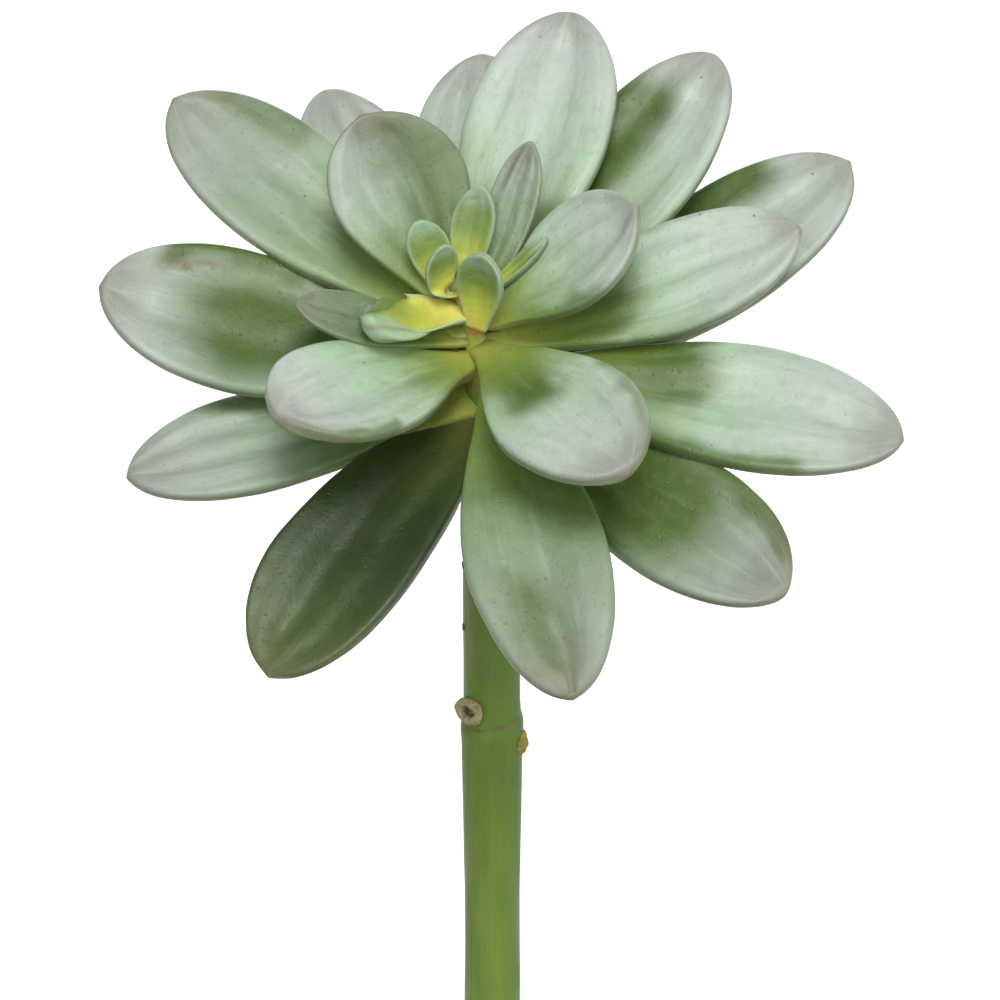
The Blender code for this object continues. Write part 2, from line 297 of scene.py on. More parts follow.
class Skin:
    """A material with short ways to add nodes. Coordinates are the piece's own, in metres."""

    def __init__(self, name, **plain):
        self.material = bpy.data.materials.new(name)
        self.material.use_nodes = True
        self.tree = self.material.node_tree
        self.shader = self.tree.nodes["Principled BSDF"]
        self.place = self.add("ShaderNodeTexCoord").outputs["Object"]
        for key, value in plain.items():
            self.shader.inputs[key.replace("_", " ")].default_value = value

    def add(self, kind, **settings):
        node = self.tree.nodes.new(kind)
        for key, value in settings.items():
            setattr(node, key, value)
        return node

    def join(self, source, target):
        """Link a socket, or set a plain value."""
        if isinstance(source, bpy.types.NodeSocket):
            self.tree.links.new(source, target)
        else:
            target.default_value = source

    def value(self, name):
        """A number that the mesh carries at each of its points."""
        return self.add("ShaderNodeAttribute", attribute_name=name).outputs["Fac"]

    def feed(self, node, *sources):
        """Join sources to a node's first inputs, and take its first output."""
        for socket, source in zip(node.inputs, sources):
            self.join(source, socket)
        return node.outputs[0]

    def sums(self, operation, first, second):
        return self.feed(self.add("ShaderNodeMath", operation=operation), first, second)

    def plus(self, first, second):
        return self.sums("ADD", first, second)

    def times(self, first, second):
        return self.sums("MULTIPLY", first, second)

    def step(self, source, low, high, to_low=0.0, to_high=1.0):
        """Remap a number smoothly from low..high to to_low..to_high."""
        node = self.add("ShaderNodeMapRange", interpolation_type="SMOOTHSTEP")
        return self.feed(node, source, low, high, to_low, to_high)

    def clouds(self, size, detail=3.0, rough=0.55, place=None, distortion=0.0):
        """Soft noise from 0 to 1 whose patches are about size across."""
        node = self.add("ShaderNodeTexNoise")
        self.join(place or self.place, node.inputs["Vector"])
        node.inputs["Scale"].default_value = 1 / size
        node.inputs["Detail"].default_value = detail
        node.inputs["Roughness"].default_value = rough
        node.inputs["Distortion"].default_value = distortion
        return node.outputs["Fac"]

    def cells(self, size):
        """Distance to the nearest of scattered points about size apart."""
        node = self.add("ShaderNodeTexVoronoi")
        self.join(self.place, node.inputs["Vector"])
        node.inputs["Scale"].default_value = 1 / size
        return node.outputs["Distance"]

    def stretched(self, *scale):
        """The piece's coordinates, scaled along each axis."""
        node = self.add("ShaderNodeVectorMath", operation="MULTIPLY")
        return self.feed(node, self.place, scale)

    def packed(self, x, y, z):
        return self.feed(self.add("ShaderNodeCombineXYZ"), x, y, z)

    def ramp(self, source, *stops):
        """Colours at positions along a number."""
        node = self.add("ShaderNodeValToRGB")
        scale = node.color_ramp.elements
        while len(scale) < len(stops):
            scale.new(1.0)
        for element, (position, colour) in zip(scale, stops):
            element.position = position
            element.color = (*colour, 1.0)
        return self.feed(node, source)

    def mix(self, share, first, second):
        node = self.add("ShaderNodeMix", data_type="RGBA")
        colours = [item if isinstance(item, bpy.types.NodeSocket) else (*item, 1.0)
                   for item in (first, second)]
        self.join(share, node.inputs["Factor"])
        self.join(colours[0], node.inputs[6])
        self.join(colours[1], node.inputs[7])
        return node.outputs[2]

    def tint(self, share, colour):
        """Mix a share of a colour into the colour so far."""
        self.colour = self.mix(share, self.colour, colour)

    def finish(self, roughness, height=None, distance=None):
        """Join what was made to the shader, and take the material."""
        self.join(self.colour, self.shader.inputs["Base Color"])
        self.join(roughness, self.shader.inputs["Roughness"])
        if height is not None:
            bump = self.add("ShaderNodeBump")
            bump.inputs["Strength"].default_value = 1.0
            bump.inputs["Distance"].default_value = distance
            self.join(height, bump.inputs["Height"])
            self.join(bump.outputs[0], self.shader.inputs["Normal"])
        return self.material


def leaf_material():
    """Green skin under pale wax, yellow at the foot and in young leaves, olive underneath, with
    painted shade.
    """
    wax = Skin("leaf_wax", Specular_IOR_Level=0.32, Subsurface_Weight=0.10,
               Subsurface_Scale=0.003, Coat_Weight=0.07, Coat_Roughness=0.30,
               Sheen_Weight=0.03, Sheen_Roughness=0.5)
    wax.shader.inputs["Subsurface Radius"].default_value = (0.7, 1.0, 0.25)
    wax.shader.inputs["Sheen Tint"].default_value = (0.9, 0.95, 0.93, 1)
    along, rim, young, upper = (wax.value(key) for key in ("along", "rim", "young", "upper"))
    patches = wax.clouds(15 * MM, 3.0)
    mottle = wax.clouds(3.4 * MM, 4.0, 0.6)
    grain = wax.clouds(0.6 * MM, 3.0, 0.65)
    lanes = wax.packed(wax.times(along, 0.8), wax.value("across"), wax.value("seed"))
    streaks = wax.clouds(0.22, 4.0, 0.6, lanes, 0.3)
    shifted = wax.plus(along, wax.times(wax.sums("SUBTRACT", patches, 0.5), 0.30))

    # Bare green skin, made dark enough to paint shade where it shows, pale wax on it, the heart's
    # fresh skin, and streaks along the leaf.
    bare = wax.ramp(shifted, (0.0, (0.26, 0.28, 0.045)), (0.16, (0.13, 0.19, 0.026)),
                    (0.40, (0.050, 0.096, 0.012)), (0.80, (0.048, 0.086, 0.015)),
                    (1.0, (0.085, 0.092, 0.038)))
    pale = wax.ramp(shifted, (0.08, (0.22, 0.30, 0.09)), (0.30, (0.225, 0.32, 0.17)),
                    (0.55, (0.28, 0.375, 0.275)), (0.85, (0.33, 0.385, 0.345)),
                    (1.0, (0.22, 0.24, 0.21)))
    fresh = wax.ramp(shifted, (0.0, (0.52, 0.47, 0.08)), (0.28, (0.36, 0.39, 0.05)),
                     (0.6, (0.13, 0.195, 0.035)), (1.0, (0.10, 0.165, 0.07)))
    # Painted light and shade: pale wax where the leaf is unshaded, dark bare skin where it is shaded.
    unshaded_wax = wax.times(wax.step(wax.value("wax"), 0.10, 0.85), wax.step(shifted, 0.05, 0.42))
    unshaded_wax = wax.times(unshaded_wax, wax.step(mottle, 0.25, 0.60, 0.82, 1.0))
    wax.colour = wax.mix(young, wax.mix(unshaded_wax, bare, pale), fresh)
    grown = wax.sums("SUBTRACT", 1.0, young)
    unshaded_waxed = wax.times(unshaded_wax, grown)
    bright = wax.times(wax.step(streaks, 0.50, 0.72, 0.0, 0.40), unshaded_waxed)
    wax.tint(bright, (0.43, 0.49, 0.44))
    dull = wax.times(wax.step(streaks, 0.48, 0.28, 0.0, 0.32), grown)
    wax.tint(dull, (0.13, 0.20, 0.085))
    wax.tint(wax.step(mottle, 0.45, 0.75, 0.0, 0.15), (0.13, 0.19, 0.08))

    # A mauve flush at the tip and on the rims of waxed, unshaded skin, and frost on young rims.
    flush = wax.times(wax.step(shifted, 0.62, 1.0), wax.step(mottle, 0.2, 0.7, 0.4, 1.0))
    edges = wax.times(wax.step(rim, 0.3, 0.9), wax.step(along, 0.35, 0.8, 0.0, 0.6))
    mauve = wax.times(wax.sums("MAXIMUM", flush, edges), 0.38)
    wax.tint(wax.times(mauve, unshaded_waxed), (0.20, 0.190, 0.190))
    frost = wax.sums("MAXIMUM", wax.step(rim, 0.25, 0.8), wax.step(along, 0.72, 0.95))
    frost = wax.times(wax.times(frost, young), 0.8)
    wax.tint(frost, (0.23, 0.32, 0.215))

    # The underside, the thin line round the rim, painted shade on the darker leaves and the brown
    # tip.
    below = wax.step(upper, 0.60, 0.38)
    olive = wax.mix(wax.step(patches, 0.35, 0.65), (0.15, 0.22, 0.055), (0.23, 0.28, 0.12))
    olive = wax.mix(wax.step(streaks, 0.42, 0.66, 0.0, 0.6), olive, (0.30, 0.35, 0.20))
    olive = wax.mix(wax.step(streaks, 0.50, 0.32, 0.0, 0.6), olive, (0.085, 0.135, 0.03))
    olive = wax.mix(young, olive, (0.24, 0.33, 0.21))
    wax.tint(wax.times(below, wax.step(along, 0.9, 0.4, 0.75, 0.6)), olive)
    line = wax.times(wax.step(rim, 0.88, 0.99), wax.step(along, 0.1, 0.3))
    wax.tint(wax.times(line, 0.45), (0.12, 0.115, 0.05))
    # Painted shade: leaves marked dark are tinted towards near-black, less at the tip.
    shade = wax.times(wax.value("dark"), wax.step(along, 0.98, 0.55, 0.2, 1.0))
    wax.tint(shade, (0.008, 0.012, 0.004))
    wax.tint(wax.step(along, 0.985, 1.0, 0.0, 0.5), (0.17, 0.13, 0.07))

    # A few brown specks, scuffs, gloss and fine relief.
    dot = wax.step(wax.cells(4.2 * MM), 0.05, 0.085, 1.0, 0.0)
    few = wax.step(wax.clouds(7 * MM, 1.0), 0.52, 0.60)
    specks = wax.times(wax.times(dot, few), 0.7)
    wax.tint(specks, (0.09, 0.065, 0.035))
    scuff = wax.times(wax.value("mark"), wax.step(mottle, 0.35, 0.6, 0.35, 1.0))
    wax.tint(wax.times(scuff, 0.85), (0.11, 0.095, 0.045))

    rough = wax.plus(wax.step(mottle, 0.3, 0.7, 0.34, 0.48), wax.times(grain, 0.1))
    pits = wax.step(wax.cells(1.9 * MM), 0.06, 0.22)
    relief = wax.plus(wax.times(mottle, 0.9), wax.times(grain, 0.3))
    relief = wax.plus(relief, wax.times(pits, 0.4))
    return wax.finish(rough, relief, 0.2 * MM)


def stem_material():
    """Green bark with fine upright fibres, browner round the scar and yellow in the heart."""
    bark = Skin("stem_bark", Specular_IOR_Level=0.28, Subsurface_Weight=0.05,
                Subsurface_Scale=0.002)
    bark.shader.inputs["Subsurface Radius"].default_value = (0.6, 1.0, 0.2)
    heart, wound = bark.value("heart"), bark.value("wound")
    fibres = bark.clouds(1.1 * MM, 4.0, 0.6, bark.stretched(1, 1, 0.07), 0.4)
    patches = bark.clouds(14 * MM, 2.0, 0.5, bark.stretched(1, 1, 0.45))
    grain = bark.clouds(0.5 * MM, 3.0, 0.6)
    bark.colour = bark.ramp(patches, (0.3, (0.072, 0.132, 0.017)), (0.52, (0.100, 0.172, 0.023)),
                       (0.75, (0.155, 0.225, 0.038)))
    bark.tint(bark.step(fibres, 0.42, 0.7, 0.0, 0.35), (0.08, 0.145, 0.018))
    bark.tint(bark.step(grain, 0.55, 0.8, 0.0, 0.25), (0.24, 0.30, 0.08))
    dots = bark.step(bark.cells(3.1 * MM), 0.04, 0.09, 0.45, 0.0)
    bark.tint(dots, (0.20, 0.17, 0.07))
    bark.tint(bark.step(wound, 0.15, 0.9, 0.0, 0.85), (0.13, 0.085, 0.03))
    core = bark.mix(bark.step(bark.clouds(3.5 * MM, 2.0), 0.46, 0.60), (0.27, 0.29, 0.045),
                    (0.30, 0.15, 0.025))
    bark.tint(heart, core)
    rough = bark.step(fibres, 0.3, 0.7, 0.44, 0.60)
    height = bark.plus(fibres, bark.times(grain, 0.4))
    return bark.finish(rough, height, 0.15 * MM)


def scar_material(name, ridge, hollow):
    """Dry corky tissue, darker where it is cracked."""
    cork = Skin(name, Specular_IOR_Level=0.35)
    cracks = cork.clouds(1.2 * MM, 5.0, 0.65, distortion=0.6)
    grain = cork.clouds(0.35 * MM, 3.0)
    cork.colour = cork.ramp(cracks, (0.35, hollow), (0.62, ridge))
    cork.tint(cork.step(grain, 0.5, 0.8, 0.0, 0.3), (0.36, 0.30, 0.17))
    return cork.finish(cork.step(grain, 0.3, 0.7, 0.6, 0.8), cracks, 0.2 * MM)


def clay_material():
    """Fired clay: fine sandy grain, faint turning lines, and pale bloom near the foot and rim."""
    clay = Skin("pot_fired_clay", Specular_IOR_Level=0.3)
    height_up = clay.value("height")
    patches = clay.clouds(30 * MM, 4.0, 0.6)
    sand = clay.clouds(0.7 * MM, 4.0, 0.7)
    lines = clay.clouds(2.2 * MM, 2.0, 0.5, clay.stretched(0.02, 0.02, 1))
    bloom = clay.clouds(17 * MM, 5.0, 0.65, distortion=0.8)
    clay.colour = clay.ramp(patches, (0.3, (0.36, 0.135, 0.062)), (0.5, (0.44, 0.175, 0.085)),
                       (0.72, (0.50, 0.225, 0.12)))
    clay.tint(clay.step(sand, 0.5, 0.8, 0.0, 0.35), (0.62, 0.36, 0.22))
    clay.tint(clay.step(sand, 0.42, 0.2, 0.0, 0.3), (0.22, 0.075, 0.04))
    near_ends = clay.sums("MAXIMUM", clay.step(height_up, 0.16, 0.0, 0.0, 0.6),
                          clay.step(height_up, 0.88, 1.0, 0.0, 0.45))
    lime = clay.times(clay.step(bloom, 0.45, 0.68), clay.plus(near_ends, 0.12))
    clay.tint(lime, (0.66, 0.56, 0.47))
    rough = clay.step(sand, 0.3, 0.7, 0.82, 0.94)
    bump = clay.plus(clay.times(sand, 0.6), lines)
    return clay.finish(rough, bump, 0.22 * MM)


def soil_material():
    """Dark damp compost with paler crumbs."""
    earth = Skin("soil_compost", Specular_IOR_Level=0.25)
    crumbs = earth.clouds(1.6 * MM, 6.0, 0.7)
    patches = earth.clouds(9 * MM, 3.0)
    earth.colour = earth.ramp(crumbs, (0.3, (0.012, 0.008, 0.005)), (0.5, (0.04, 0.026, 0.016)),
                        (0.72, (0.105, 0.072, 0.045)))
    earth.tint(earth.step(patches, 0.45, 0.7, 0.0, 0.35), (0.075, 0.055, 0.038))
    return earth.finish(earth.step(crumbs, 0.3, 0.7, 0.98, 0.8), crumbs, 1.1 * MM)


def grit_material(name, dark, light):
    """Grains whose colour drifts between dark and light."""
    stone = Skin(name, Specular_IOR_Level=0.3)
    grain = stone.clouds(0.8 * MM, 4.0, 0.65)
    patches = stone.clouds(3 * MM, 2.0)
    stone.colour = stone.ramp(patches, (0.35, dark), (0.65, light))
    stone.tint(stone.step(grain, 0.5, 0.8, 0.0, 0.3), dark)
    return stone.finish(stone.step(grain, 0.3, 0.7, 0.75, 0.92), grain, 0.25 * MM)


# ---------------- leaves

class LeafLook:
    """The chance details of one leaf, the same on every run."""

    def __init__(self, number, node, shape, trim):
        chance = random.Random(100 + number)
        big = smooth(*GROWN, shape["length"])
        self.seed = number * 7.31
        self.grooves = chance.uniform(1.8, 3.4)
        self.groove_phase = chance.uniform(0, math.tau)
        self.groove = GROOVE * big * chance.uniform(0.6, 1.3)
        self.dish = DISH * chance.uniform(0.75, 1.25)
        self.lump = LUMP * big
        self.dimple = DIMPLE * (0.4 + 0.6 * big)
        self.sway = chance.uniform(-SWAY, SWAY) * big
        self.point = POINT * (0.35 + 0.65 * big) * chance.uniform(0.5, 1.6)
        self.young = 1 - smooth(*YOUNG, shape["length"])
        self.marks = [Mark(*row) for row in MARKS.get(node, ())]
        # Patches of painted shade, where the wax is taken off.
        self.bare = [Mark(*row) for row in PAINTED_SHADE_PATCHES.get(node, ())]
        # The leaf's share of wax, lowered on shaded leaves to paint shade, and its painted shade
        # darkening.
        self.wax, self.dark = trim.wax, trim.dark
        self.pits = []
        for _ in range(int(PITS * big)):
            at, across = chance.uniform(0.3, 0.95), chance.uniform(-0.8, 0.8)
            radius, deep = chance.uniform(0.4, 1.0), chance.uniform(0.1, 0.32)
            self.pits.append(Mark(at, at, across, radius, deep))


def mark_strength(mark, shape, share, sideways, width):
    """1 in the middle of a mark, fading out at its radius."""
    nearest = min(max(share, mark.start), mark.end)
    wander = MARK_WANDER * noise.noise(Vector((share * 30, mark.across * 9, 2.5)))
    aside = (sideways - mark.across - wander) * width
    away = math.hypot((share - nearest) * shape["length"], aside)
    return math.exp(-(away / (mark.radius * MM)) ** 2)


def leaf_lift(look, shape, share, sideways, height, width, depth, cup):
    """How far a point of the section stands above the leaf's middle, details included."""
    lift = depth * math.copysign(abs(height) ** RIM_ROUNDNESS, height)
    lift += cup * width * (sideways ** 2 - 0.5)
    open_part = smooth(0.08, 0.4, share) * (1 - smooth(0.86, 0.985, share))
    if height > 0:
        inside = 1 - sideways ** 2
        wander = 1.3 * noise.noise(Vector((share * 4, look.seed, 0.5)))
        lift -= open_part * look.dish * depth * inside ** 1.4
        groove = math.cos(look.grooves * math.pi * sideways + look.groove_phase + wander)
        lift += open_part * look.groove * groove * inside
        for mark in (*look.pits, *look.marks):
            lift -= mark.deep * MM * mark_strength(mark, shape, share, sideways, width)
    return lift


def leaf_stations(last):
    """Ring numbers to skin, closer together towards the tip."""
    near_tip = [last - 1 + step / TIP_STEPS for step in range(1, TIP_STEPS)]
    count = (last - 1) * STEPS_PER_RING
    return [i / STEPS_PER_RING for i in range(count + 1)] + near_tip


def painted_shade_casters():
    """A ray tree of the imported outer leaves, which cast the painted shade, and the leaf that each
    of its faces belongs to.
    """
    points, faces, owners = [], [], []
    for name in leaf_nodes[:SHADE_CASTERS]:
        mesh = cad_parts[name].data
        start = len(points)
        points += [vert.co.copy() for vert in mesh.vertices]
        faces += [[start + index for index in face.vertices] for face in mesh.polygons]
        owners += [name] * len(mesh.polygons)
    return BVHTree.FromPolygons(points, faces), owners


def painted_shade_rays():
    """The cone's directions: its middle one and two rings about it."""
    middle = PAINTED_SHADE_FROM.normalized()
    side = middle.cross(Vector((1, 0, 0))).normalized()
    other = side.cross(middle)
    rays = [middle]
    for number, spread in enumerate(PAINTED_SHADE_SPREADS):
        for i in range(PAINTED_SHADE_RAYS):
            turn = math.tau * (i + number / 2) / PAINTED_SHADE_RAYS
            aside = side * math.cos(turn) + other * math.sin(turn)
            rays.append((middle + aside * spread).normalized())
    return rays


def blocked(place, ray, node):
    """Whether another leaf than node lies in a direction from a place."""
    tree, owners = shade_caster_tree
    hit, _, index, _ = tree.ray_cast(place, ray)
    while hit is not None and owners[index] == node:
        hit, _, index, _ = tree.ray_cast(hit + ray * PAST_SELF, ray)
    return hit is not None


def unshaded_share(place, node):
    """The share of its wax that a place has, by how many of the directions no leaf blocks; the fewer,
    the deeper the painted shade.
    """
    free = [ray for ray in painted_shade_directions if not blocked(place, ray, node)]
    return FULL_SHADE_WAX_SHARE + (1 - FULL_SHADE_WAX_SHARE) * len(free) / len(painted_shade_directions)


def outside_painted_shade(look, shape, share, sideways, width):
    """1 where a leaf has kept its wax and 0 in the middle of a painted shade patch."""
    drift = PAINTED_SHADE_WANDER * noise.noise(Vector((share * 7, sideways * 1.5, look.seed)))
    place = (share + 0.1 * drift, sideways + drift)
    strengths = [patch.deep * mark_strength(patch, shape, *place, width) for patch in look.bare]
    return 1 - max(strengths, default=0.0)


def trimmed(shape, trim):
    """The leaf's rings after its trim."""
    share = shape["share"]
    up, right = np.array((0, 0, trim.lift * MM)), np.array((trim.aside * MM, 0, 0))
    shape["centre"] = shape["centre"] + np.outer(share ** LEAN_POWER, up + right)
    peak = shape["width"].max()
    before_peak = np.arange(len(share)) < shape["width"].argmax()
    shape["width"] = np.where(before_peak, shape["width"] + trim.fill * (peak - shape["width"]),
                              shape["width"]) * trim.wide
    shape["depth"] = shape["depth"] * trim.thick
    turn = math.radians(trim.roll)
    if trim.flip:
        shape["side"], shape["face"], shape["cup"] = -shape["side"], -shape["face"], -shape["cup"]
    shape["cup"] = shape["cup"] + trim.cup
    side, face = shape["side"], shape["face"]
    shape["side"] = side * math.cos(turn) - face * math.sin(turn)
    shape["face"] = face * math.cos(turn) + side * math.sin(turn)
    return shape


def grow_leaf(number, node, material):
    """Skin one leaf, from inside the stem out to its tip."""
    trim = TRIMS.get(node, Trim())
    shape = trimmed(measured(ring_chain(node, leaf_root)), trim)
    look = LeafLook(number, node, shape, trim)
    last = len(shape["share"]) - 1
    sides = SMALL_LEAF_SIDES if shape["length"] < SMALL_LEAF else LEAF_SIDES
    tip = shape["centre"][last]
    heading = tip - shape["centre"][last - 2]
    heading = heading / np.linalg.norm(heading)
    rings = []
    values = {key: [] for key in ("along", "across", "rim", "upper", "young", "dark", "seed",
                                  "mark", "wax")}

    def note(along, across, rim, upper, mark=0.0, wax=0.0):
        row = (along, across, rim, upper, look.young, look.dark, look.seed, mark, wax)
        for key, entry in zip(values, row):
            values[key].append(entry)

    foot = shape["centre"][0]
    inward = np.array(stem_axis(foot[2])) - foot
    for share_in, fullness in ROOT_RINGS:
        ring = []
        for turn in turns(sides):
            sideways, height = math.cos(turn), math.sin(turn)
            upwards = math.copysign(abs(height) ** RIM_ROUNDNESS, height)
            ring.append(foot + inward * share_in
                        + shape["side"][0] * shape["width"][0] * sideways * fullness
                        + shape["face"][0] * shape["depth"][0] * upwards * fullness)
            note(0.0, sideways, 0.0, 0.5)
        rings.append(ring)

    for at in leaf_stations(last):
        share = float(between(shape["share"], at))
        centre = between(shape["centre"], at)
        side, face = between(shape["side"], at), between(shape["face"], at)
        side, face = side / np.linalg.norm(side), face / np.linalg.norm(face)
        width = float(between(shape["width"], at))
        depth = float(between(shape["depth"], at))
        cup = float(between(shape["cup"], at))
        width *= 1 + WAVE * noise.noise(Vector((share * 3.1, look.seed, 9.0)))
        centre = centre + side * look.sway * math.sin(math.pi * share)
        ring = []
        for turn in turns(sides):
            sideways, height = math.cos(turn), math.sin(turn)
            lift = leaf_lift(look, shape, share, sideways, height, width, depth, cup)
            point = centre + side * (width * sideways) + face * lift
            here = Vector(point)
            fade = min(1.0, depth / THIN) * smooth(0.0, 0.2, share)
            bulge = look.lump * noise.noise(here / LUMP_SIZE + Vector((look.seed, 0, 0)))
            bulge += look.dimple * noise.noise(here / DIMPLE_SIZE)
            outward = side * (sideways * 0.4) + face * height
            point = point + outward * bulge * fade
            away = np.linalg.norm(point - tip)
            point = point + heading * look.point * math.exp(-(away / POINT_WIDTH) ** 2)
            ring.append(point)
            marked = max([mark_strength(mark, shape, share, sideways, width)
                          for mark in look.marks if height > 0], default=0.0)
            # Painted shade: the wax thins where other leaves block the cone of directions and in the
            # leaf's listed shade patches.
            wax = 0.0
            if height > WAX_BRINK:
                wax = unshaded_share(Vector(point + face * PAINTED_SHADE_CLEAR), node) * look.wax
                wax *= outside_painted_shade(look, shape, share, sideways, width)
            note(share, sideways, 1 - abs(height), 0.5 + 0.5 * height, marked, wax)
        rings.append(ring)
    note(0.0, 0.0, 0.0, 0.5)
    note(1.0, 0.0, 1.0, 0.5, 0.0, look.wax)
    caps = (foot + inward, tip + heading * look.point)
    mesh = skin(f"{node}_skin", rings, caps, values)
    piece = new_piece(f"{node}_skin", mesh, material)
    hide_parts(node)


# ---------------- stem

RING_POINTS = 12               # fewer points than this at one height aren't a ring
STEM_SIDES = 64
STEM_STEP = 0.8 * MM
NECK_FOOT = 260 * MM           # the leaves' feet are all above this
HEART_FOOT = 292 * MM          # the stem turns yellow above this
ROOT_ROW = -4                  # the ring at whose centre the leaves' directions start
CORE_SLIMMING = 0.35
STEM_SWELLS = ((0.20 * MM, 0.35, 9 * MM), (0.05 * MM, 0.12, 1.3 * MM))  # rise, squash, size
JOINT_DROP = 0.4 * MM          # the joint's crack lies this far below the scar
JOINT_LEAN = 1.3 * MM          # and rises and falls this much round the stem
CRACK = 0.32 * MM
CRACK_WIDTH = 0.40 * MM
LIP = 0.10 * MM                # the raised edge above the crack
LIP_WIDTH = 0.6 * MM
SHOULDER = 0.42 * MM           # how much fatter the stem is below the joint


def stem_rows():
    """Centre and radius of each of the stem's rings, and the heights of its scar and its bud."""
    points = np.array([vert.co[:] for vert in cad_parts["stem"].data.vertices])
    points = np.unique(points.round(6), axis=0)
    levels = sorted(set(points[:, 2].round(5)))
    rings = [points[abs(points[:, 2] - level) < WELD] for level in levels]
    rings = [ring for ring in rings if len(ring) >= RING_POINTS]
    centres, radii = [], []
    for ring in rings:
        middle = ring.mean(axis=0)
        if middle[2] < NECK_FOOT:            # the scar and the bud don't shift the cane
            middle[:2] = rings[0].mean(axis=0)[:2]
        centres.append(middle)
        radii.append(np.percentile(np.linalg.norm((ring - middle)[:, :2], axis=1), 20))
    bare = [ring for ring in rings if ring[:, 2].mean() < NECK_FOOT]
    scar = min(bare, key=lambda ring: ring[:, 0].min())[:, 2].mean()
    bud = max(bare, key=lambda ring: ring[:, 0].max())[:, 2].mean()
    return centres, radii, scar, bud


def stem_axis(height):
    """Centre of the stem at a height."""
    centres = stem_measures[0]
    heights = [centre[2] for centre in centres]
    across = [np.interp(height, heights, [centre[axis] for centre in centres]) for axis in (0, 1)]
    return Vector(across + [height])


def grow_stem(material):
    """Skin the stem, with a crack under the scar and a thin core among the leaves' feet."""
    centres, radii, scar_height, _ = stem_measures
    heights = np.array([centre[2] for centre in centres])
    foot, top = heights[0], heights[-1]
    count = int((top - foot) / STEM_STEP)
    rings, values = [], {"heart": [], "wound": []}
    for i in range(count + 1):
        height = foot + (top - foot) * i / count
        centre = stem_axis(height)
        radius = float(np.interp(height, heights, radii))
        radius *= 1 - CORE_SLIMMING * smooth(HEART_FOOT, HEART_FOOT + 12 * MM, height)
        ring = []
        for turn in turns(STEM_SIDES):
            out = Vector((math.cos(turn), math.sin(turn), 0))
            place = centre + out * radius
            swell = sum(rise * noise.noise(Vector((place.x, place.y, place.z * squash)) / size)
                        for rise, squash, size in STEM_SWELLS)
            off = height - (scar_height - JOINT_DROP + JOINT_LEAN * math.sin(turn + 0.9))
            swell += LIP * math.exp(-((off - 1.0 * MM) / LIP_WIDTH) ** 2)
            swell += SHOULDER * smooth(0.5 * MM, -2.5 * MM, off) * smooth(-45 * MM, -6 * MM, off)
            crack = math.exp(-(off / CRACK_WIDTH) ** 2)
            front = smooth(0.0, 0.6, 0.3 - out.y - 0.5 * out.x)
            swell -= CRACK * crack * front
            ring.append(place + out * swell)
            values["heart"].append(smooth(HEART_FOOT - 4 * MM, HEART_FOOT + 6 * MM, height))
            values["wound"].append(crack * front)
        rings.append(ring)
    values["heart"] += [0.0, 1.0]
    values["wound"] += [0.0, 0.0]
    mesh = skin("stem_skin", rings, (Vector((0, 0, foot)), Vector(centres[-1])), values)
    piece = new_piece("stem_skin", mesh, material)
    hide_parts("stem")


ROLL_STEPS = 40
ROLL_SIDES = 14
ROLL_ROUGHNESS = 0.12 * MM


def ring_tube(name, centre, along, wide, tall, thick, seed):
    """A rough oval roll of tissue that faces along a direction."""
    along = along.normalized()
    across = along.cross(Vector((0, 0, 1))).normalized()
    upright = across.cross(along)
    points, faces = [], []
    for i, turn in enumerate(turns(ROLL_STEPS)):
        out = across * math.cos(turn) + upright * math.sin(turn)
        middle = centre + across * (wide * math.cos(turn)) + upright * (tall * math.sin(turn))
        place = Vector((math.cos(turn), math.sin(turn), seed)) * 1.7
        girth = thick * (1 + 0.35 * noise.noise(place))
        for j, roll in enumerate(turns(ROLL_SIDES)):
            point = middle + out * (girth * math.cos(roll)) + along * (girth * math.sin(roll) * 1.15)
            points.append(point + out * (ROLL_ROUGHNESS * noise.noise(point / (0.8 * MM))))
            k, m = (i + 1) % ROLL_STEPS, (j + 1) % ROLL_SIDES
            here, after = i * ROLL_SIDES, k * ROLL_SIDES
            faces.append((here + j, after + j, after + m, here + m))
    return shaped(name, points, faces)


def blob(name, centre, axes, seed, rough=0.12, rings=18, sides=24):
    """A rough egg. axes are its three half lengths as vectors; the first runs through its poles."""
    long_axis, second, third = axes
    loops = []
    for i in range(1, rings):
        lean = math.pi * i / rings
        loop = []
        for turn in turns(sides):
            unit = (long_axis * -math.cos(lean)
                    + (second * math.cos(turn) + third * math.sin(turn)) * math.sin(lean))
            wobble = 1 + rough * noise.noise(unit.normalized() * 2.3 + Vector((seed, 0, 0)))
            loop.append(centre + unit * wobble)
        loops.append(loop)
    return skin(name, loops, (centre - long_axis, centre + long_axis))


SCAR_FACING = Vector((-0.70, -0.70, 0.12)).normalized()
SCAR_RISE = 1.6 * MM           # the roll's middle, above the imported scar's
SCAR_OUT = 0.9 * MM            # and how far it stands off the stem's radius
SCAR_DEPTH = 2.2 * MM          # how far the core lies behind the roll's middle
BUD_FACING = Vector((0.96, -0.28, 0)).normalized()
BUD_DROP = 0.6 * MM
BUD_OUT = 0.35 * MM
NICK_FACING = Vector((-0.97, -0.24, 0)).normalized()
NICK_RISES = (20 * MM, 34 * MM, 50 * MM)


